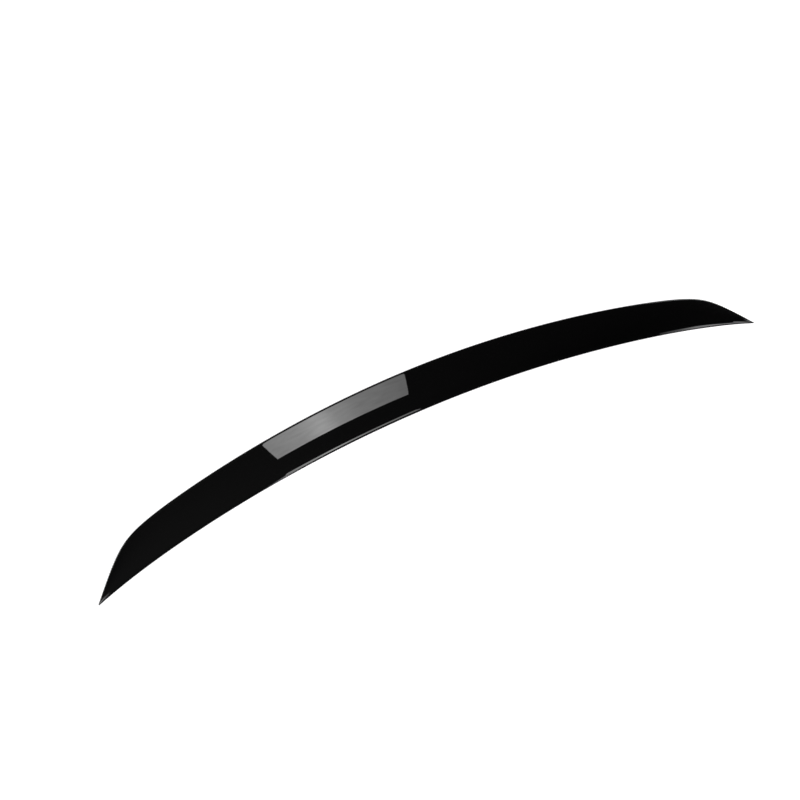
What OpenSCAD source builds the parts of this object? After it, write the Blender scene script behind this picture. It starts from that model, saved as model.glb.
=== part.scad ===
// Car rear spoiler: a slim boomerang-shaped trunk lid lip, moulded in one piece of gloss black plastic.
// It is hollow and ribbed underneath, and is stuck down on two lines of foam tape, one behind the
// leading edge and one on the foot of the rear face. The tapes still wear their red release film.
// X runs across the car, +Y to the rear and +Z up. Z 0 is the plane that the release films lie on.

/* [Plan] */
// Width from tip to tip
span = 1200; // [1000:10:1400]
// How far the leading edge bows forward to the tips
bow = 82.9; // [60:0.1:110]
// Extra sweep of the leading edge close to the tips
tip_sweep = 8.6; // [0:0.1:12]
// Chord in the middle, from the leading edge to the trailing edge
chord = 72.3; // [65:0.1:82]
// How much the chord narrows from the middle to the ends, before the end cut
chord_taper = 13.7; // [8:0.1:18]
// Slope of the end cut in plan, length rearward for each length inward
end_slope = 1.39; // [1.25:0.01:1.5]
// Size of the round corner between the trailing edge and the end cut
end_blend = 17.2; // [13:0.1:20]
// Chord that is left at the tip itself
tip_chord = 2; // [1.5:0.1:3]

/* [Section in the middle] */
// Height of the top just behind the leading edge, where it starts to roll down to it
nose_h = 3.4; // [3.1:0.1:4.5]
// Length of that roll
nose_w = 6; // [5:0.1:7]
// Extra slope that the roll ends with at the leading edge, rise for each length forward
nose_slope = 0.7; // [0.6:0.01:0.8]
// Radius along the top of the leading edge
nose_r = 0.8; // [0.6:0.05:1]
// Rise of the top from the leading edge to the trailing edge
rise = 21.5; // [18:0.5:28]
// How late the top sweeps up, where 1 is a straight ramp
sweep = 1.7; // [1.5:0.05:1.9]
// Radius round the trailing lip
lip_r = 3.6; // [2.8:0.1:3.8]
// How far the foot of the rear face sits forward of the trailing edge
undercut = 12; // [9:0.5:14]
// How far the rear face leans from upright just under the lip, in degrees
lean = 40; // [35:1:50]
// Width of the small break on the bottom edges
edge_break = 0.4; // [0.2:0.05:0.6]

/* [Moulding] */
// Thickness of the top skin over the hollow
skin_t = 3; // [2.2:0.1:3.3]
// Thickness of the rear wall
wall_t = 3; // [2.2:0.1:3.5]
// Thickness of the foot flange that carries the rear tape
foot_t = 3.2; // [2.8:0.1:3.6]
// Length from the tip to the end of the hollow
hollow_end = 76; // [74:1:140]
// Thickness of the wall between the hollow and the pocket in each end
end_wall = 6; // [3:0.5:9]
// Length from the tip to the outer end of that pocket
pocket_end = 41; // [40:1:50]
// Thickness of the cross ribs
rib_t = 2; // [1.5:0.1:3]
// Spacing of the cross ribs
rib_pitch = 75; // [50:1:110]
// How far the cross ribs stay above the underside
rib_gap = 1.8; // [1.5:0.1:2.2]

/* [Mounting tape] */
// Width of the foam tape
tape_w = 10; // [8:0.1:10.4]
// Thickness of the foam tape
tape_t = 1.1; // [1:0.05:1.3]
// Depth of the recess that the tape is laid in
recess_depth = 0.8; // [0.5:0.05:0.9]
// Clearance between the tape and each side of its recess
recess_gap = 0.3; // [0.2:0.05:0.5]
// Rim left on each side of a recess
rim_w = 2; // [1.5:0.1:2.5]
// Thickness of the release film
film_t = 0.15; // [0.1:0.05:0.3]
// Gap in the middle between the left and right lengths of tape
tape_split = 8; // [4:1:20]
// Length from the tip to the end of the front tape
front_tape_end = 46; // [40:1:80]
// Length from the tip to the end of the rear tape
rear_tape_end = 80; // [78:1:140]

/* [Hidden] */

half = span / 2;
base_z = film_t + tape_t - recess_depth;
recess_w = tape_w + 2 * recess_gap;
// Width of each land that carries a tape: behind the leading edge, and on the foot
land_w = recess_w + 2 * rim_w;

// Powers of the bow and of the extra sweep near the tips
bow_power = 2;
sweep_power = 8;

// Steps of the loft: along the main stretch, along each end, and round the section
end_stretch = 110;
main_steps = 22;
end_steps = 20;
reach_steps = main_steps + end_steps;
least_step = 1;
nose_steps = 4;
roll_steps = 4;
top_steps = 12;
lip_steps = 8;
rear_steps = 5;
roof_steps = 7;

// Overlap of a cut past the face that it opens, and of a rib into the walls round it
over = 1;
embed = 0.8;

// Half the length along X over which the slope of a line is taken
slope_step = 0.5;

// Hubs that the caps of a loft fan out from: their distance to the nearest edge of a hollow, and their
// share of the tip's chord and thickness
hub_step = 0.4;
hub_share = 0.4;

// Plan: the leading edge, the trailing edge and the distances between them

function t_of(x) = abs(x) / half;

function bowed(x) = -bow * pow(t_of(x), bow_power) - tip_sweep * pow(t_of(x), sweep_power);

// The smaller of two values, with their crossing rounded off
function soft_min(a, b, r) = (a + b) / 2 - sqrt(pow((a - b) / 2, 2) + r * r);

function main_trail(x) = chord - (bow + chord_taper) * pow(t_of(x), bow_power);

tip_trail = bowed(half) + tip_chord;

// The end cut is lifted so that the rounded outline still meets the tip
end_lift = end_blend * end_blend / (main_trail(half) - tip_trail);

function end_cut(x) = tip_trail + end_lift + end_slope * (half - abs(x));

function trailing(x) = soft_min(main_trail(x), end_cut(x), end_blend);

// Half way between the front of the tips and the rear of the trailing edge
y_mid = (bowed(half) + trailing(0)) / 2;

function lead_y(x) = bowed(x) - y_mid;
function chord_at(x) = trailing(x) - bowed(x);
function share(c) = c / chord_at(0);
function foot_y(x) = lead_y(x) + foot_v(chord_at(x));

// Length along Y that makes a strip of unit width beside each line
function lead_stretch(x) = stretch(lead_y(x + slope_step) - lead_y(x - slope_step));
function foot_stretch(x) = stretch(foot_y(x + slope_step) - foot_y(x - slope_step));
function stretch(dy) = sqrt(1 + pow(dy / (2 * slope_step), 2));

// Section: V runs rearward from the leading edge and Z up from the underside.
// Small radii and the nose shrink with the root of the chord, so the tips stay blunt.

function small(size, c) = size * sqrt(share(c));
function foot_v(c) = c - undercut * share(c);

// The most of the chord that the roll and the lip's radius may take, which only matters at the tips
nose_share = 0.4;
lip_share = 0.2;
function roll_w(c) = min(small(nose_w, c), nose_share * c);
function lip_size(c) = min(small(lip_r, c), lip_share * c);

// Top: sweeps up to the lip, and rolls down to the leading edge. The roll is 1 at the edge and 0
// where it starts.
function roll(c, v) = max(0, 1 - v / roll_w(c));
function top_z(c, v) =
    small(nose_h, c) + rise * share(c) * pow(v / c, sweep)
    - nose_slope * roll_w(c) / 2 * pow(roll(c, v), 2);
function top_angle(c, v) =
    atan(rise * share(c) * sweep * pow(v / c, sweep - 1) / c + nose_slope * roll(c, v));

function arc(centre, r, from, to, steps) =
    [for (i = [0 : steps]) let (a = from + (to - from) * i / steps) centre + r * [cos(a), sin(a)]];

// Nose: its angle, the first point of the top behind it, and its centre. The angle is that of the
// top a little behind the leading edge, in nose radii.
nose_lead = 0.4;
function nose_angle(c) = top_angle(c, nose_lead * small(nose_r, c));
function nose_end(c) = small(nose_r, c) * (1 - sin(nose_angle(c)));
function nose_centre(c) =
    [small(nose_r, c), top_z(c, nose_end(c)) - small(nose_r, c) * cos(nose_angle(c))];

// Lip: its angle, the last point of the top before it, its centre, and where the rear face starts.
// The angle is that of the top a little ahead of the lip, in lip radii.
lip_lead = 1.5;
function lip_angle(c) = top_angle(c, c - lip_lead * lip_size(c));
function lip_start(c) = c - lip_size(c) * (1 + sin(lip_angle(c)));
function lip_centre(c) = [c - lip_size(c), top_z(c, lip_start(c)) - lip_size(c) * cos(lip_angle(c))];
function rear_top(c) = lip_centre(c) + lip_size(c) * [cos(lean), -sin(lean)];
function rear_foot(c) = [foot_v(c), small(edge_break, c)];
function rear_knee(c) =
    [foot_v(c), max(small(edge_break, c), rear_top(c).y - (rear_top(c).x - foot_v(c)) / tan(lean))];

// Rear face: leans forward under the lip and ends upright at the foot
function rear(c, t) =
    pow(1 - t, 2) * rear_top(c) + 2 * t * (1 - t) * rear_knee(c) + t * t * rear_foot(c);
function rear_run(c, t) =
    (1 - t) * (rear_knee(c) - rear_top(c)) + t * (rear_foot(c) - rear_knee(c));

// The same face moved inward by a wall
function rear_inner(c, t, d) =
    let (run = rear_run(c, t) / norm(rear_run(c, t))) rear(c, t) + d * [run.y, -run.x];

// Points along the top between two places, without the first of them
function along_top(c, from, to, steps, last) =
    [for (i = [1 : last]) let (v = from + (to - from) * i / steps) [v, top_z(c, v)]];

function outer_profile(c) =
    let (e = small(edge_break, c))
    concat([[e, 0], [0, e]],
           arc(nose_centre(c), small(nose_r, c), 180, 90 + nose_angle(c), nose_steps),
           along_top(c, nose_end(c), roll_w(c), roll_steps, roll_steps),
           along_top(c, roll_w(c), lip_start(c), top_steps, top_steps - 1),
           arc(lip_centre(c), lip_size(c), 90 + lip_angle(c), -lean, lip_steps),
           [for (i = [1 : rear_steps]) rear(c, i / rear_steps)],
           [[foot_v(c) - e, 0]]);

// Places on the rear face that the rear walls of the hollow and the pockets follow, from the top down
hollow_ts = [0.27, 0.55];
pocket_ts = [0.5];

function roof(c, from, to, lift) =
    [for (i = [0 : roof_steps]) let (v = from + (to - from) * i / roof_steps)
        [v, top_z(c, v) - skin_t + lift]];

function front_v(x) = land_w * lead_stretch(x);
function flange_v(x) = foot_v(chord_at(x)) - land_w * foot_stretch(x);

// Underside of the roof and front of the rear wall, moved outward into them by a root
function inner_top(x, front, ts, root) =
    let (c = chord_at(x), wall = (wall_t - root) * foot_stretch(x))
    concat(roof(c, front, rear_inner(c, ts[0], wall).x, root),
           [for (t = ts) rear_inner(c, t, wall)]);
function wall_v(x, root) = foot_v(chord_at(x)) - (wall_t - root) * foot_stretch(x);

// Hollow: runs back over the foot flange, as far as the rear wall
function hollow_profile(x) =
    concat([[flange_v(x), foot_t], [flange_v(x), -over], [front_v(x), -over]],
           inner_top(x, front_v(x), hollow_ts, 0),
           [[wall_v(x, 0), foot_t]]);

// Pocket: cores out an end beyond the rear tape, where there is no foot flange
function pocket_profile(x) =
    concat([[wall_v(x, 0), -over], [front_v(x), -over]], inner_top(x, front_v(x), pocket_ts, 0));

// Rib: fills the hollow's section down to its own lower edge, and is rooted in the walls
function rib_profile(x) =
    concat([[front_v(x) - embed, rib_gap]],
           inner_top(x, front_v(x) - embed, hollow_ts, embed),
           [[wall_v(x, embed), rib_gap]]);

function placed(profile, x) = [for (p = profile) [x, lead_y(x) + p.x, base_z + p.y]];

// Stations along X, which all that follows the outline shares: even steps over the main stretch,
// and finer ones over each end
function station(i) =
    let (n = abs(i), main = half - end_stretch)
    sign(i) * (n <= main_steps ? main * n / main_steps : main + end_stretch * (n - main_steps) / end_steps);
stations = [for (i = [-reach_steps : reach_steps]) station(i)];

// The ends of a stretch and the stations between them
function stops(from, to) =
    concat([from], [for (x = stations) if (x > from + least_step && x < to - least_step) x], [to]);
function reversed(list) = [for (i = [len(list) - 1 : -1 : 0]) list[i]];

// Solid through the rings at a row of stations. Each cap fans out from its hub, a point in the plane
// of the first or last ring that sees the whole of that ring.
module loft(rings, hubs) {
    n = len(rings[0]);
    m = len(rings);
    points = concat([for (ring = rings) each ring], hubs);
    sides = [for (j = [0 : m - 2]) for (i = [0 : n - 1]) let (k = (i + 1) % n)
        each [[j * n + i, j * n + k, (j + 1) * n + k], [j * n + i, (j + 1) * n + k, (j + 1) * n + i]]];
    first = [for (i = [0 : n - 1]) [m * n, (i + 1) % n, i]];
    last = [for (i = [0 : n - 1]) [m * n + 1, (m - 1) * n + i, (m - 1) * n + (i + 1) % n]];
    polyhedron(points, concat(sides, first, last));
}

module outer_body() {
    hub = hub_share * [tip_chord, small(nose_h, tip_chord)];
    loft([for (x = stations) placed(outer_profile(chord_at(x)), x)],
         [for (x = [-half, half]) placed([hub], x)[0]]);
}

module hollow() {
    reach = half - hollow_end;
    loft([for (x = stops(-reach, reach)) placed(hollow_profile(x), x)],
         [for (x = [-reach, reach]) placed([[flange_v(x) - hub_step, foot_t + hub_step]], x)[0]]);
}

module pocket(side) {
    inner = half - hollow_end + end_wall;
    outer = half - pocket_end;
    ends = side < 0 ? [-outer, -inner] : [inner, outer];
    loft([for (x = stops(ends[0], ends[1])) placed(pocket_profile(x), x)],
         [for (x = ends) placed([[front_v(x) + hub_step, 0]], x)[0]]);
}

// Cross rib in the plane of its own section
module rib(x) {
    translate([x - rib_t / 2, lead_y(x), base_z])
        rotate([90, 0, 90])
            linear_extrude(rib_t) polygon(rib_profile(x));
}

// Strip that follows the leading edge, from one distance behind it to another
module front_strip(from, to, near, far) {
    xs = stops(from, to);
    polygon(concat([for (x = xs) [x, lead_y(x) + near * lead_stretch(x)]],
                   [for (x = reversed(xs)) [x, lead_y(x) + far * lead_stretch(x)]]));
}

// Strip that follows the foot of the rear face, from one distance in front of it to another
module rear_strip(from, to, near, far) {
    xs = stops(from, to);
    polygon(concat([for (x = xs) [x, foot_y(x) - near * foot_stretch(x)]],
                   [for (x = reversed(xs)) [x, foot_y(x) - far * foot_stretch(x)]]));
}

// Recess in the underside with the outline of its children
module recess() {
    translate([0, 0, base_z - over]) linear_extrude(over + recess_depth) children();
}

module spoiler_shell() {
    front_reach = half - front_tape_end + recess_gap;
    rear_reach = half - rear_tape_end + recess_gap;
    rib_n = floor((half - hollow_end - rib_pitch / 2) / rib_pitch);
    color("#0b0b0c") union() {
        difference() {
            outer_body();
            hollow();
            for (side = [-1, 1]) pocket(side);
            recess() front_strip(-front_reach, front_reach, rim_w, rim_w + recess_w);
            recess() rear_strip(-rear_reach, rear_reach, rim_w, rim_w + recess_w);
        }
        for (i = [-rib_n : rib_n]) rib(i * rib_pitch);
    }
}

// One half length of tape or film: side is -1 for the left half and 1 for the right half
function half_length(side, tape_end) =
    side < 0 ? [tape_end - half, -tape_split / 2] : [tape_split / 2, half - tape_end];
band_near = rim_w + recess_gap;

module front_band(side, z, t) {
    ends = half_length(side, front_tape_end);
    translate([0, 0, z]) linear_extrude(t)
        front_strip(ends[0], ends[1], band_near, band_near + tape_w);
}

module rear_band(side, z, t) {
    ends = half_length(side, rear_tape_end);
    translate([0, 0, z]) linear_extrude(t)
        rear_strip(ends[0], ends[1], band_near, band_near + tape_w);
}

module front_tape_left() { color("#3b3b3d") front_band(-1, film_t, tape_t); }
module front_tape_right() { color("#3b3b3d") front_band(1, film_t, tape_t); }
module rear_tape_left() { color("#3b3b3d") rear_band(-1, film_t, tape_t); }
module rear_tape_right() { color("#3b3b3d") rear_band(1, film_t, tape_t); }
module front_film_left() { color("#b41226") front_band(-1, 0, film_t); }
module front_film_right() { color("#b41226") front_band(1, 0, film_t); }
module rear_film_left() { color("#b41226") rear_band(-1, 0, film_t); }
module rear_film_right() { color("#b41226") rear_band(1, 0, film_t); }

spoiler_shell();
front_tape_left();
front_tape_right();
rear_tape_left();
rear_tape_right();
front_film_left();
front_film_right();
rear_film_left();
rear_film_right();
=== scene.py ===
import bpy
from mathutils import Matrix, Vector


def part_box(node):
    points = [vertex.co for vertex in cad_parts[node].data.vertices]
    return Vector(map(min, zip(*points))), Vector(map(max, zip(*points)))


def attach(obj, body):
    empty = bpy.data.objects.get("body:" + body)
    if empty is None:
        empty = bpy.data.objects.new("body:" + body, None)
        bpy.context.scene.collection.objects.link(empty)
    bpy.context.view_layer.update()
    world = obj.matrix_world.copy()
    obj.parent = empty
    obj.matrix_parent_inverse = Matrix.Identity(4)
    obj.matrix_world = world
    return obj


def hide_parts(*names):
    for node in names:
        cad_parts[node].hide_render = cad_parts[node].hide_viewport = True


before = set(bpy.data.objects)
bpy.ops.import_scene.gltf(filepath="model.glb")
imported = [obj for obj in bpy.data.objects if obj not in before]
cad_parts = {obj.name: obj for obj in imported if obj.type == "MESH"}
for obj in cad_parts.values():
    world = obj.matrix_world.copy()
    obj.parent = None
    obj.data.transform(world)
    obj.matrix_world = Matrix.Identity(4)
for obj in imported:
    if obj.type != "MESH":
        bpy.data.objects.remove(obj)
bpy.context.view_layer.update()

import math

import bpy
import numpy as np
from mathutils import Matrix, Vector

MM = 0.001

# Places that come from the frame: the shell's box gives the half width and the height of its underside
shell_low, shell_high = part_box("spoiler_shell")
HALF = shell_high[0]
BASE_Z = shell_low[2]

# Plan of the blade
BOW = 82.9 * MM            # bow of the leading edge, from the middle forward to the tips
TIP_SWEEP = 8.6 * MM       # extra sweep of the leading edge close to the tips
BOW_POWER = 2
SWEEP_POWER = 8
CHORD = 72.3 * MM          # from the leading edge to the trailing edge, in the middle
CHORD_TAPER = 13.7 * MM    # narrowing from the middle to the ends, before the end cut
END_SLOPE = 1.39           # of the end cut: length rearward for each length inward
END_BLEND = 17.2 * MM      # round corner between the trailing edge and the end cut
TIP_CHORD = 2 * MM         # chord that is left at the tip itself

# Section in the middle. Heights and radii shrink towards the tips.
NOSE_H = 3.4 * MM          # height of the top just behind the leading edge
NOSE_W = 6 * MM            # length over which the top rolls down to the leading edge
NOSE_SLOPE = 0.7           # extra slope that the roll ends with
NOSE_R = 0.8 * MM          # radius along the top of the leading edge
NOSE_LEAD = 0.4            # place that gives the nose its angle, in nose radii behind the edge
NOSE_SHARE = 0.4           # the most of the chord that the roll may take
RISE = 21.5 * MM           # of the top, from the leading edge to the trailing edge
SWEEP = 1.7                # how late the top sweeps up, where 1 is a straight ramp
LIP_R = 3.6 * MM           # radius round the trailing lip
LIP_LEAD = 1.5             # place that gives the lip its angle, in lip radii ahead of the edge
LIP_SHARE = 0.2            # the most of the chord that the lip's radius may take
UNDERCUT = 12 * MM         # how far the foot sits forward of the trailing edge
LEAN = math.radians(40)    # of the rear face from upright, just under the lip
EDGE_BREAK = 0.4 * MM      # small break on the bottom edges

# Moulding under the skin
SKIN_T = 3 * MM
WALL_T = 3 * MM
FOOT_T = 3.2 * MM
HOLLOW_END = 76 * MM       # from the tip to the end of the hollow
END_WALL = 6 * MM          # between the hollow and the pocket in each end
POCKET_END = 41 * MM       # from the tip to the outer end of the pocket
RIB_T = 2 * MM
RIB_PITCH = 75 * MM
RIB_GAP = 1.8 * MM         # from the ribs' lower edge to the underside
HOLLOW_TS = (0.27, 0.55)   # places on the rear face that the wall of the hollow follows, 0 to 1
POCKET_TS = (0.5,)         # and those that the wall of a pocket follows

# Recesses for the tape
TAPE_W = 10 * MM
RECESS_GAP = 0.3 * MM      # between the tape and each side of its recess
RECESS_W = TAPE_W + 2 * RECESS_GAP
RECESS_DEPTH = 0.8 * MM
RIM_W = 2 * MM             # rim left on each side of a recess
LAND_W = RECESS_W + 2 * RIM_W
FRONT_TAPE_END = 46 * MM   # from the tip to the end of the front tape
REAR_TAPE_END = 80 * MM    # from the tip to the end of the rear tape

# Fineness of the lofts: along the main stretch and each end, and round the section
END_STRETCH = 110 * MM
MAIN_STEPS = 66
END_STEPS = 60
NOSE_STEPS = 10
ROLL_STEPS = 16
TOP_STEPS = 44
LIP_STEPS = 18
REAR_STEPS = 14
ROOF_STEPS = 16
LEAST_STEP = 1 * MM
SLOPE_STEP = 0.5 * MM      # half the length over which the slope of a line is taken

# Overlap of a cut past the face that it opens, and of a rib into the walls round it
OVER = 1 * MM
EMBED = 0.8 * MM

# Hubs that the caps of a loft fan out from: distance to the nearest edge, and share of the tip's size
HUB_STEP = 0.4 * MM
HUB_SHARE = 0.4

# Edges sharper than this stay crisp where the rest is shaded smooth
SHARP_ANGLE = math.radians(28)


# Plan: leading edge, trailing edge and chord at a place along X

def bowed(x):
    """Leading edge, from Y 0 in the middle forward to the tips."""
    t = abs(x) / HALF
    return -BOW * t ** BOW_POWER - TIP_SWEEP * t ** SWEEP_POWER


def main_trail(x):
    """Trailing edge before its ends are cut off."""
    return CHORD - (BOW + CHORD_TAPER) * (abs(x) / HALF) ** BOW_POWER


def trailing(x):
    """Trailing edge with its end cuts, which are lifted so that the rounded outline meets the tips."""
    tip = bowed(HALF) + TIP_CHORD
    lift = END_BLEND ** 2 / (main_trail(HALF) - tip)
    a = main_trail(x)
    b = tip + lift + END_SLOPE * (HALF - abs(x))
    return (a + b) / 2 - math.hypot((a - b) / 2, END_BLEND)


# Half way between the front of the tips and the rear of the trailing edge, and the chord in the middle
Y_MID = (bowed(HALF) + trailing(0)) / 2
MID_CHORD = trailing(0) - bowed(0)


def lead_y(x):
    return bowed(x) - Y_MID


def chord_at(x):
    return trailing(x) - bowed(x)


def foot_v(c):
    return c - UNDERCUT * c / MID_CHORD


def foot_y(x):
    return lead_y(x) + foot_v(chord_at(x))


def stretch(line, x):
    """Length along Y that makes a strip of unit width beside a line of the plan."""
    rise = line(x + SLOPE_STEP) - line(x - SLOPE_STEP)
    return math.hypot(1, rise / (2 * SLOPE_STEP))


# Section: V runs rearward from the leading edge and Z up from the underside

def small(size, c):
    """A size of the middle, shrunk with the root of the chord, so that the tips stay blunt."""
    return size * math.sqrt(c / MID_CHORD)


def nose_w(c):
    return min(small(NOSE_W, c), NOSE_SHARE * c)


def lip_r(c):
    return min(small(LIP_R, c), LIP_SHARE * c)


def to_edge(c, v):
    """How far down its roll the top is: 1 at the leading edge and 0 where the roll starts."""
    return max(0, 1 - v / nose_w(c))


def top_z(c, v):
    """Height of the top: it sweeps up to the lip, and rolls down to the leading edge."""
    drop = NOSE_SLOPE * nose_w(c) / 2 * to_edge(c, v) ** 2
    return small(NOSE_H, c) + RISE * c / MID_CHORD * (v / c) ** SWEEP - drop


def top_angle(c, v):
    sweep_slope = RISE / MID_CHORD * SWEEP * (v / c) ** (SWEEP - 1)
    return math.atan(sweep_slope + NOSE_SLOPE * to_edge(c, v))


def arc(centre, r, start, end, steps):
    angles = np.linspace(start, end, steps + 1)
    return [(centre[0] + r * math.cos(a), centre[1] + r * math.sin(a)) for a in angles]


def lip(c):
    """Angle of the top at the lip, the last V of the top, and the lip's centre and radius."""
    r = lip_r(c)
    angle = top_angle(c, c - LIP_LEAD * r)
    start = c - r * (1 + math.sin(angle))
    return angle, start, (c - r, top_z(c, start) - r * math.cos(angle)), r


def rear_corners(c):
    """The rear face's top under the lip, the knee that it bends towards, and its foot."""
    _, _, centre, r = lip(c)
    top = np.array(centre) + r * np.array([math.cos(LEAN), -math.sin(LEAN)])
    edge = small(EDGE_BREAK, c)
    knee_z = max(edge, top[1] - (top[0] - foot_v(c)) / math.tan(LEAN))
    return top, np.array([foot_v(c), knee_z]), np.array([foot_v(c), edge])


def rear(c, t):
    """Point of the rear face, from the lip at t 0 to the foot at t 1."""
    top, knee, foot = rear_corners(c)
    return (1 - t) ** 2 * top + 2 * t * (1 - t) * knee + t * t * foot


def rear_inner(c, t, inward):
    """Point at a depth behind the rear face."""
    top, knee, foot = rear_corners(c)
    run = (1 - t) * (knee - top) + t * (foot - knee)
    run = run / np.hypot(*run)
    return rear(c, t) + inward * np.array([run[1], -run[0]])


def outer_profile(x):
    """Section of the blade, from the front of its underside over the nose, top and lip to the foot."""
    c = chord_at(x)
    r, edge = small(NOSE_R, c), small(EDGE_BREAK, c)
    tilt = top_angle(c, NOSE_LEAD * r)
    first = r * (1 - math.sin(tilt))
    angle, last, centre, end_r = lip(c)
    nose = arc((r, top_z(c, first) - r * math.cos(tilt)), r, math.pi, math.pi / 2 + tilt, NOSE_STEPS)
    roll = [(v, top_z(c, v)) for v in np.linspace(first, nose_w(c), ROLL_STEPS + 1)[1:]]
    top = [(v, top_z(c, v)) for v in np.linspace(nose_w(c), last, TOP_STEPS + 1)[1:-1]]
    rounding = arc(centre, end_r, math.pi / 2 + angle, -LEAN, LIP_STEPS)
    face = [tuple(rear(c, i / REAR_STEPS)) for i in range(1, REAR_STEPS + 1)]
    return [(edge, 0), (0, edge)] + nose + roll + top + rounding + face + [(foot_v(c) - edge, 0)]


def front_v(x):
    """Rear of the land that carries the front tape, which is the front of the hollow."""
    return LAND_W * stretch(lead_y, x)


def flange_v(x):
    """Front of the foot flange that carries the rear tape."""
    return foot_v(chord_at(x)) - LAND_W * stretch(foot_y, x)


def wall_v(x, root=0.0):
    """Front of the rear wall at the foot, moved rearward into the wall by a root."""
    return foot_v(chord_at(x)) - (WALL_T - root) * stretch(foot_y, x)


def inner_top(x, front, ts, root=0.0):
    """Underside of the roof and front of the rear wall, moved outward into them by a root."""
    c = chord_at(x)
    wall = (WALL_T - root) * stretch(foot_y, x)
    back = [tuple(rear_inner(c, t, wall)) for t in ts]
    roof = [(v, top_z(c, v) - SKIN_T + root) for v in np.linspace(front, back[0][0], ROOF_STEPS + 1)]
    return roof + back


def hollow_profile(x):
    """The hollow runs back over the foot flange, as far as the rear wall."""
    opening = [(flange_v(x), FOOT_T), (flange_v(x), -OVER), (front_v(x), -OVER)]
    return opening + inner_top(x, front_v(x), HOLLOW_TS) + [(wall_v(x), FOOT_T)]


def pocket_profile(x):
    """A pocket cores out an end beyond the rear tape, where there is no foot flange."""
    return [(wall_v(x), -OVER), (front_v(x), -OVER)] + inner_top(x, front_v(x), POCKET_TS)


def rib_profile(x):
    """A rib fills the hollow's section down to its own lower edge, and is rooted in the walls."""
    front = front_v(x) - EMBED
    return [(front, RIB_GAP)] + inner_top(x, front, HOLLOW_TS, EMBED) + [(wall_v(x, EMBED), RIB_GAP)]


def placed(profile, x, at=None):
    """Section points in space: drawn for the place x, and moved along X to at."""
    return [((x if at is None else at), lead_y(x) + v, BASE_Z + z) for v, z in profile]


def stations():
    """Places along X for the sections: even steps over the main stretch, and finer ones at the ends."""
    main = np.linspace(0, HALF - END_STRETCH, MAIN_STEPS + 1)
    end = np.linspace(HALF - END_STRETCH, HALF, END_STEPS + 1)[1:]
    right = np.concatenate([main, end])
    return np.concatenate([-right[:0:-1], right])


def stops(start, end):
    """The ends of a stretch and the stations between them."""
    inner = [x for x in stations() if start + LEAST_STEP < x < end - LEAST_STEP]
    return [start] + inner + [end]


# Meshes

def mesh_object(name, points, faces):
    mesh = bpy.data.meshes.new(name)
    mesh.from_pydata([tuple(map(float, p)) for p in points], [], faces)
    mesh.validate()
    obj = bpy.data.objects.new(name, mesh)
    bpy.context.scene.collection.objects.link(obj)
    return obj


def loft(name, rings, hubs):
    """Closed solid through rings of equal length. Each cap fans out from its hub."""
    n, m = len(rings[0]), len(rings)
    points = [p for ring in rings for p in ring] + hubs
    faces = []
    for j in range(m - 1):
        for i in range(n):
            k = (i + 1) % n
            faces.append((j * n + i, (j + 1) * n + i, (j + 1) * n + k, j * n + k))
    for i in range(n):
        k = (i + 1) % n
        faces.append((m * n, i, k))
        faces.append((m * n + 1, (m - 1) * n + k, (m - 1) * n + i))
    return mesh_object(name, points, faces)


def prism(name, outline, low, high):
    """Closed solid between two heights, over an outline given as two rows of equal length."""
    near, far = outline
    n = len(near)
    ring = [(near[i], far[i]) for i in range(n)]
    points = []
    for a, b in ring:
        points += [(*a, low), (*b, low), (*b, high), (*a, high)]
    faces = [(3, 2, 1, 0), (4 * n - 4, 4 * n - 3, 4 * n - 2, 4 * n - 1)]
    for j in range(n - 1):
        for i in range(4):
            k = (i + 1) % 4
            faces.append((4 * j + i, 4 * j + k, 4 * j + 4 + k, 4 * j + 4 + i))
    return mesh_object(name, points, faces)


def strip(line, sign, reach):
    """Two rows of points beside a line of the plan: the rims of a recess."""
    rows = []
    for distance in (RIM_W, RIM_W + RECESS_W):
        rows.append([(x, line(x) + sign * distance * stretch(line, x)) for x in stops(-reach, reach)])
    return rows


def hollow():
    reach = HALF - HOLLOW_END
    rings = [placed(hollow_profile(x), x) for x in stops(-reach, reach)]
    hubs = [placed([(flange_v(x) - HUB_STEP, FOOT_T + HUB_STEP)], x)[0] for x in (-reach, reach)]
    return loft("hollow", rings, hubs)


def pocket(ends):
    rings = [placed(pocket_profile(x), x) for x in stops(*ends)]
    hubs = [placed([(front_v(x) + HUB_STEP, 0)], x)[0] for x in ends]
    return loft("pocket", rings, hubs)


def recess(name, line, sign, tape_end):
    outline = strip(line, sign, HALF - tape_end + RECESS_GAP)
    return prism(name, outline, BASE_Z - OVER, BASE_Z + RECESS_DEPTH)


def rib(index):
    x = index * RIB_PITCH
    profile = rib_profile(x)
    sides = [placed(profile, x, x + side * RIB_T / 2) for side in (-1, 1)]
    hub = (front_v(x) + HUB_STEP, RIB_GAP + HUB_STEP)
    hubs = [placed([hub], x, x + side * RIB_T / 2)[0] for side in (-1, 1)]
    return loft(f"rib_{index}", sides, hubs)


def outward(obj):
    """Turns a closed mesh's faces outward, if its signed volume says that they point in."""
    mesh = obj.data
    mesh.calc_loop_triangles()
    co = np.array([v.co for v in mesh.vertices])
    tri = np.array([t.vertices for t in mesh.loop_triangles])
    volume = np.einsum("ij,ij->i", co[tri[:, 0]], np.cross(co[tri[:, 1]], co[tri[:, 2]])).sum()
    if volume < 0:
        mesh.flip_normals()
    return obj


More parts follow.
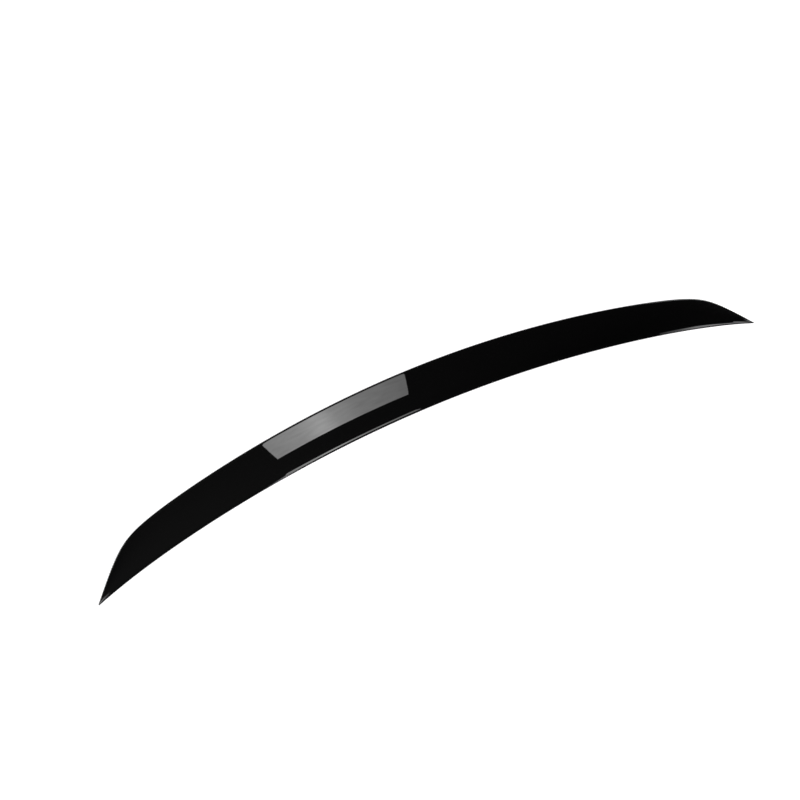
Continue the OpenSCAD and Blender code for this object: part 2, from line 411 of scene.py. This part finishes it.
def combine(target, tools, operation):
    """Cuts closed meshes out of the target, or adds them to it, and deletes them."""
    for tool in tools:
        modifier = target.modifiers.new("form", "BOOLEAN")
        modifier.object = outward(tool)
        modifier.operation = operation
        modifier.solver = "MANIFOLD"
    depsgraph = bpy.context.evaluated_depsgraph_get()
    mesh = bpy.data.meshes.new_from_object(target.evaluated_get(depsgraph), depsgraph=depsgraph)
    target.modifiers.clear()
    target.data = mesh
    for tool in tools:
        bpy.data.objects.remove(tool)


def build_shell():
    """The whole moulding: the blade, less its hollow, pockets and recesses, and with its ribs."""
    rings = [placed(outer_profile(x), x) for x in stations()]
    hub = (HUB_SHARE * TIP_CHORD, HUB_SHARE * small(NOSE_H, TIP_CHORD))
    shell = outward(loft("spoiler_blade", rings, [placed([hub], x)[0] for x in (-HALF, HALF)]))

    inner, outer = HALF - HOLLOW_END + END_WALL, HALF - POCKET_END
    cutters = [hollow(), pocket((-outer, -inner)), pocket((inner, outer)),
               recess("front_recess", lead_y, 1, FRONT_TAPE_END),
               recess("rear_recess", foot_y, -1, REAR_TAPE_END)]
    combine(shell, cutters, "DIFFERENCE")

    count = int((HALF - HOLLOW_END - RIB_PITCH / 2) / RIB_PITCH)
    combine(shell, [rib(i) for i in range(-count, count + 1)], "UNION")
    return shell


# Materials. Colours are linear. Scales are waves to the metre, in the object's own space.

# Part of its range that a noise really fills
NOISE_LOW, NOISE_HIGH = 0.3, 0.7
PLASTIC_IOR = 1.5

# Polished plastic: a haze in its gloss, and the faint waves of a moulding
POLISHED_COLOUR = (0.0012, 0.0012, 0.00125, 1)
POLISHED_ROUGHNESS = (0.004, 0.016)
HAZE_SCALE = 9
WAVE_SCALE = 420
WAVE_HEIGHT = 0.0002 * MM

# The same plastic as it leaves the mould: dull, with a fine grain
MOULDED_COLOUR = (0.006, 0.006, 0.0065, 1)
MOULDED_ROUGHNESS = (0.32, 0.46)
DRIFT_SCALE = 40
GRAIN_SCALE = 2600
GRAIN_HEIGHT = 0.03 * MM

# Foam tape: closed cells, darker at their middles
FOAM_DARK = (0.03, 0.03, 0.032, 1)
FOAM_LIGHT = (0.065, 0.065, 0.068, 1)
FOAM_ROUGHNESS = 0.85
CELL_SCALE = 2800
CELL_DISTANCES = (0.1, 0.7)
CELL_HEIGHT = 0.08 * MM

# Release film: two close reds, and ripples
FILM_DARK = (0.42, 0.012, 0.02, 1)
FILM_LIGHT = (0.58, 0.022, 0.035, 1)
FILM_ROUGHNESS = 0.28
FILM_TONE_SCALE = 60
RIPPLE_SCALE = 130
RIPPLE_HEIGHT = 0.2 * MM


def new_material(name):
    material = bpy.data.materials.new(name)
    material.use_nodes = True
    nodes = material.node_tree.nodes
    return material, nodes, material.node_tree.links, nodes["Principled BSDF"]


def noise(nodes, links, scale, detail, roughness=0.5):
    place = nodes.get("Texture Coordinate") or nodes.new("ShaderNodeTexCoord")
    texture = nodes.new("ShaderNodeTexNoise")
    texture.inputs["Scale"].default_value = scale
    texture.inputs["Detail"].default_value = detail
    texture.inputs["Roughness"].default_value = roughness
    links.new(place.outputs["Object"], texture.inputs["Vector"])
    return texture.outputs["Fac"]


def map_range(nodes, links, value, to_min, to_max, from_min=NOISE_LOW, from_max=NOISE_HIGH):
    node = nodes.new("ShaderNodeMapRange")
    node.inputs["From Min"].default_value = from_min
    node.inputs["From Max"].default_value = from_max
    node.inputs["To Min"].default_value = to_min
    node.inputs["To Max"].default_value = to_max
    links.new(value, node.inputs["Value"])
    return node.outputs["Result"]


def mixed_colour(nodes, links, value, first, second):
    mix = nodes.new("ShaderNodeMix")
    mix.data_type = "RGBA"
    mix.inputs["A"].default_value = first
    mix.inputs["B"].default_value = second
    links.new(value, mix.inputs["Factor"])
    return mix.outputs["Result"]


def bump(nodes, links, height, distance):
    node = nodes.new("ShaderNodeBump")
    node.inputs["Strength"].default_value = 1.0
    node.inputs["Distance"].default_value = distance
    links.new(height, node.inputs["Height"])
    return node.outputs["Normal"]


def gloss_black():
    """Polished black plastic: a deep mirror with the faint waviness and haze of a moulding."""
    material, nodes, links, shader = new_material("polished_black_abs")
    shader.inputs["Base Color"].default_value = POLISHED_COLOUR
    shader.inputs["IOR"].default_value = PLASTIC_IOR
    haze = noise(nodes, links, HAZE_SCALE, 5, 0.6)
    links.new(map_range(nodes, links, haze, *POLISHED_ROUGHNESS), shader.inputs["Roughness"])
    waves = noise(nodes, links, WAVE_SCALE, 1)
    links.new(bump(nodes, links, waves, WAVE_HEIGHT), shader.inputs["Normal"])
    return material


def moulded_black():
    """The same plastic on faces that are never polished."""
    material, nodes, links, shader = new_material("moulded_black_abs")
    shader.inputs["Base Color"].default_value = MOULDED_COLOUR
    shader.inputs["IOR"].default_value = PLASTIC_IOR
    drift = noise(nodes, links, DRIFT_SCALE, 4)
    links.new(map_range(nodes, links, drift, *MOULDED_ROUGHNESS), shader.inputs["Roughness"])
    grain = noise(nodes, links, GRAIN_SCALE, 2)
    links.new(bump(nodes, links, grain, GRAIN_HEIGHT), shader.inputs["Normal"])
    return material


def foam_tape():
    """Dark grey closed-cell acrylic foam."""
    material, nodes, links, shader = new_material("acrylic_foam")
    cells = nodes.new("ShaderNodeTexVoronoi")
    place = nodes.new("ShaderNodeTexCoord")
    cells.inputs["Scale"].default_value = CELL_SCALE
    links.new(place.outputs["Object"], cells.inputs["Vector"])
    depth = map_range(nodes, links, cells.outputs["Distance"], 0, 1, *CELL_DISTANCES)
    links.new(mixed_colour(nodes, links, depth, FOAM_DARK, FOAM_LIGHT), shader.inputs["Base Color"])
    shader.inputs["Roughness"].default_value = FOAM_ROUGHNESS
    links.new(bump(nodes, links, cells.outputs["Distance"], CELL_HEIGHT), shader.inputs["Normal"])
    return material


def release_film():
    """Red release film, smooth but slightly rippled."""
    material, nodes, links, shader = new_material("red_release_film")
    tone = noise(nodes, links, FILM_TONE_SCALE, 3)
    links.new(mixed_colour(nodes, links, tone, FILM_DARK, FILM_LIGHT), shader.inputs["Base Color"])
    shader.inputs["Roughness"].default_value = FILM_ROUGHNESS
    ripple = noise(nodes, links, RIPPLE_SCALE, 2)
    links.new(bump(nodes, links, ripple, RIPPLE_HEIGHT), shader.inputs["Normal"])
    return material


# A face is on the underside if its normal points down by more than this
FACING_DOWN = -0.9
# and inside the moulding if it lies deeper than this under the outer skin
INSET = 1 * MM


def is_hidden(polygon):
    """True on faces that lie inside the outer skin, or face down on the underside."""
    x, y, z = polygon.center
    x = max(-HALF, min(HALF, x))
    if polygon.normal.z < FACING_DOWN and z < BASE_Z + FOOT_T:
        return True
    c = chord_at(x)
    v = y - lead_y(x)
    return INSET < v < foot_v(c) - INSET and z - BASE_Z < top_z(c, v) - INSET


def dress_shell(shell):
    """Polished where the car shows it, moulded where the hollow and the underside are."""
    mesh = shell.data
    mesh.materials.clear()
    mesh.materials.append(gloss_black())
    mesh.materials.append(moulded_black())
    mesh.shade_smooth()
    mesh.set_sharp_from_angle(angle=SHARP_ANGLE)
    hidden = [is_hidden(p) for p in mesh.polygons]
    mesh.polygons.foreach_set("material_index", np.array(hidden, dtype=np.int32))


def dress_node(name, material):
    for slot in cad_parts[name].material_slots:
        slot.material = material


# Floor: pale under the lamps, and white to the camera and in reflections. What it adds for them
# grows away from the part, so that the part keeps its shadow.
FLOOR_SIZE = 30
FLOOR_COLOUR = (0.6, 0.6, 0.6, 1)
FLOOR_ROUGHNESS = 0.9
GLOW_NEAR = 0.55
GLOW_FAR = 1.0
GLOW_DISTANCES = (1.3, 3.0)


def combined(nodes, links, operation, first, second):
    node = nodes.new("ShaderNodeMath")
    node.operation = operation
    links.new(first, node.inputs[0])
    links.new(second, node.inputs[1])
    return node.outputs["Value"]


def seen_rays(nodes, links):
    """1 for rays from the camera, and for those that metal and glass reflect or pass on."""
    rays = nodes.new("ShaderNodeLightPath")
    seen = rays.outputs["Is Camera Ray"]
    for kind in ("Is Glossy Ray", "Is Transmission Ray"):
        seen = combined(nodes, links, "MAXIMUM", seen, rays.outputs[kind])
    return seen


def far_glow(nodes, links):
    """Strength that rises with the distance from the middle of the floor."""
    place = nodes.new("ShaderNodeTexCoord")
    distance = nodes.new("ShaderNodeVectorMath")
    distance.operation = "LENGTH"
    links.new(place.outputs["Object"], distance.inputs[0])
    return map_range(nodes, links, distance.outputs["Value"], GLOW_NEAR, GLOW_FAR, *GLOW_DISTANCES)


def make_floor():
    half = FLOOR_SIZE / 2
    corners = [(-half, -half, 0), (half, -half, 0), (half, half, 0), (-half, half, 0)]
    floor = mesh_object("floor", corners, [(0, 1, 2, 3)])
    material, nodes, links, shader = new_material("pale_floor")
    shader.inputs["Base Color"].default_value = FLOOR_COLOUR
    shader.inputs["Roughness"].default_value = FLOOR_ROUGHNESS
    shader.inputs["Specular IOR Level"].default_value = 0
    glow = combined(nodes, links, "MULTIPLY", seen_rays(nodes, links), far_glow(nodes, links))
    shader.inputs["Emission Color"].default_value = (1, 1, 1, 1)
    links.new(glow, shader.inputs["Emission Strength"])
    floor.data.materials.append(material)


# Sky of the studio: white low down, dark overhead, and a little lighter overhead to the left.
# Heights are sines of the elevation, and the left and right limits are along X.
LOW_SKY = 1.0
LOW_SKY_TOP = math.sin(math.radians(14))
DARK_SKY_FROM = math.sin(math.radians(26))
DARK_LEFT = 0.1
DARK_RIGHT = 0.004
LEFT_X = -0.12
RIGHT_X = 0.42


def make_world():
    world = bpy.data.worlds.new("studio")
    bpy.context.scene.world = world
    world.use_nodes = True
    nodes, links = world.node_tree.nodes, world.node_tree.links
    place = nodes.new("ShaderNodeTexCoord")
    axes = nodes.new("ShaderNodeSeparateXYZ")
    links.new(place.outputs["Generated"], axes.inputs["Vector"])
    overhead = map_range(nodes, links, axes.outputs["X"], DARK_LEFT, DARK_RIGHT, LEFT_X, RIGHT_X)
    height = nodes.new("ShaderNodeMapRange")
    height.interpolation_type = "SMOOTHSTEP"
    height.inputs["From Min"].default_value = LOW_SKY_TOP
    height.inputs["From Max"].default_value = DARK_SKY_FROM
    links.new(axes.outputs["Z"], height.inputs["Value"])
    level = nodes.new("ShaderNodeMix")
    level.data_type = "FLOAT"
    level.inputs["A"].default_value = LOW_SKY
    links.new(height.outputs["Result"], level.inputs["Factor"])
    links.new(overhead, level.inputs["B"])
    background = nodes["Background"]
    background.inputs["Color"].default_value = (1, 1, 1, 1)
    links.new(level.outputs["Result"], background.inputs["Strength"])


# Light panels. Each is an outline round its place, at one height, with its brightness across from
# left (0) to right (1), and slightly uneven as its cloth is.
UNEVEN = 0.1
CLOTH_SCALE = 18

# The softbox hangs over the front left: its place, size and turn are what its reflection asks for.
SOFTBOX_PLACE = (0.085, -0.518, 1.5)
SOFTBOX_TURN = math.radians(6.4)
SOFTBOX_OUTLINE = ((-0.229, -0.3125), (-0.2305, -0.13), (-0.235, 0.08), (-0.2355, 0.3125),
                   (0.234, 0.304), (0.2312, 0.08), (0.233, -0.13), (0.233, -0.3125))
SOFTBOX_LEVELS = ((0.0, 4.8), (0.2, 5.6), (0.37, 7.4), (0.53, 5.05), (0.68, 3.8), (1.0, 2.85))

# The other panels are small, and in the camera's view only the rolled leading edge and the tips mirror
# them. The softbox itself makes the long thin highlight along the edge.

# Low over the leading edge, left of the middle: the wedge that this highlight starts with
FRONT_PLACE = (-0.24, -0.06, 0.08)
FRONT_OUTLINE = ((-0.068, -0.04), (-0.057, -0.023), (-0.038, -0.003), (-0.026, 0.014), (0.032, 0.016),
                 (0.072, 0.02), (0.052, 0.011), (0.032, 0.004), (0.011, -0.002), (-0.01, -0.012),
                 (-0.02, -0.018), (-0.028, -0.03), (-0.04, -0.04))
FRONT_LEVELS = ((0.0, 2.5), (0.3, 3.6), (0.6, 3.6), (1.0, 3.6))

# Low over the leading edge near the right end: the highlight that widens towards the tip
STRIP_PLACE = (0.53, -0.085, 0.08)
STRIP_OUTLINE = ((-0.065, -0.025), (-0.065, 0.03), (0.015, 0.033), (0.03, 0.021), (0.05, -0.002),
                 (0.062, -0.016), (0.068, -0.025))
STRIP_LEVELS = ((0.0, 0.6), (0.2, 1.3), (0.55, 3.8), (0.85, 5.5), (1.0, 5.5))

# Further right and higher: the last of that highlight, at the right tip
TIP_PLACE = (0.91, -0.24, 0.6)
TIP_OUTLINE = ((-0.095, -0.19), (-0.095, -0.045), (-0.055, -0.045), (-0.025, 0.005), (-0.005, 0.04),
               (0.015, 0.04), (0.015, -0.09), (-0.01, -0.19))
TIP_LEVELS = ((0.0, 5.0), (0.4, 5.0), (0.8, 3.6), (1.0, 3.0))

# Beyond the left end, turned so that its brightness runs from front to rear: the left tip's glint
LEFT_TIP_PLACE = (-0.75, -0.18, 0.8)
LEFT_TIP_TURN = math.radians(-90)
LEFT_TIP_OUTLINE = ((0.12, -0.05), (-0.12, -0.05), (-0.12, -0.015), (-0.1, -0.002), (-0.05, 0.008),
                    (0.0, 0.025), (0.08, 0.035), (0.12, 0.035))
LEFT_TIP_LEVELS = ((0.0, 0.9), (0.17, 1.5), (0.37, 3.0), (0.67, 7.0), (1.0, 8.5))


def level_ramp(nodes, levels, peak):
    ramp = nodes.new("ShaderNodeValToRGB")
    ramp.color_ramp.interpolation = "EASE"
    elements = ramp.color_ramp.elements
    while len(elements) < len(levels):
        elements.new(0.5)
    for element, (where, level) in zip(elements, levels):
        element.position = where
        element.color = (level / peak, level / peak, level / peak, 1)
    return ramp


def diffuser(name, outline, levels):
    """Glowing cloth, with its levels across the width of the outline."""
    material = bpy.data.materials.new(name + "_diffuser")
    material.use_nodes = True
    nodes, links = material.node_tree.nodes, material.node_tree.links
    nodes.clear()
    place = nodes.new("ShaderNodeTexCoord")
    axes = nodes.new("ShaderNodeSeparateXYZ")
    links.new(place.outputs["Object"], axes.inputs["Vector"])
    left, right = min(x for x, _ in outline), max(x for x, _ in outline)
    peak = max(level for _, level in levels)
    ramp = level_ramp(nodes, levels, peak)
    links.new(map_range(nodes, links, axes.outputs["X"], 0, 1, left, right), ramp.inputs["Fac"])
    cloth = noise(nodes, links, CLOTH_SCALE, 3)
    strength = map_range(nodes, links, cloth, (1 - UNEVEN) * peak, (1 + UNEVEN) * peak)
    emission = nodes.new("ShaderNodeEmission")
    links.new(ramp.outputs["Color"], emission.inputs["Color"])
    links.new(strength, emission.inputs["Strength"])
    output = nodes.new("ShaderNodeOutputMaterial")
    links.new(emission.outputs["Emission"], output.inputs["Surface"])
    return material


def light_panel(name, outline, place, turn, levels):
    panel = mesh_object(name, [(x, y, 0) for x, y in outline], [tuple(range(len(outline)))])
    panel.matrix_world = Matrix.Translation(place) @ Matrix.Rotation(turn, 4, "Z")
    panel.data.materials.append(diffuser(name, outline, levels))
    panel.visible_camera = False
    panel.visible_shadow = False


def make_panels():
    light_panel("softbox", SOFTBOX_OUTLINE, SOFTBOX_PLACE, SOFTBOX_TURN, SOFTBOX_LEVELS)
    light_panel("front_light", FRONT_OUTLINE, FRONT_PLACE, 0, FRONT_LEVELS)
    light_panel("strip_light", STRIP_OUTLINE, STRIP_PLACE, 0, STRIP_LEVELS)
    light_panel("tip_light", TIP_OUTLINE, TIP_PLACE, 0, TIP_LEVELS)
    light_panel("left_tip_light", LEFT_TIP_OUTLINE, LEFT_TIP_PLACE, LEFT_TIP_TURN, LEFT_TIP_LEVELS)


# Two wide lamps at the sides light the floor and what isn't glossy
LEFT_LAMP_PLACE = (-2.2, 0.2, 1.7)
RIGHT_LAMP_PLACE = (2.3, 0.2, 1.7)
LAMP_WIDTH, LAMP_HEIGHT = 2.2, 1.0
LAMP_POWER = 50


def aimed(name, data, place, target):
    """Object for a lamp or a camera, which looks from its place to a target."""
    obj = bpy.data.objects.new(name, data)
    obj.location = place
    aim = Vector(target) - Vector(place)
    obj.rotation_euler = aim.to_track_quat("-Z", "Y").to_euler()
    bpy.context.scene.collection.objects.link(obj)
    return obj


def make_lamps():
    for name, place in (("left_lamp", LEFT_LAMP_PLACE), ("right_lamp", RIGHT_LAMP_PLACE)):
        lamp = bpy.data.lights.new(name, "AREA")
        lamp.shape = "RECTANGLE"
        lamp.size = LAMP_WIDTH
        lamp.size_y = LAMP_HEIGHT
        lamp.energy = LAMP_POWER
        aimed(name, lamp, place, (0, 0, 0))


CAMERA_PLACE = (-0.26298, -0.42583, 1.04882)
CAMERA_TARGET = (-0.04917, 0.04357, 0)
CAMERA_LENS = 30.66
SENSOR_WIDTH = 36
CLIP_START = 0.01


def make_camera():
    camera = bpy.data.cameras.new("camera")
    camera.sensor_width = SENSOR_WIDTH
    camera.lens = CAMERA_LENS
    camera.clip_start = CLIP_START
    bpy.context.scene.camera = aimed("camera", camera, CAMERA_PLACE, CAMERA_TARGET)


bpy.context.scene.view_settings.view_transform = "Standard"
make_camera()
make_world()
make_floor()
make_panels()
make_lamps()

shell = build_shell()
dress_shell(shell)
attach(shell, "root")
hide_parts("spoiler_shell")

foam, film = foam_tape(), release_film()
for line in ("front", "rear"):
    for side in ("left", "right"):
        dress_node(f"{line}_tape_{side}", foam)
        dress_node(f"{line}_film_{side}", film)
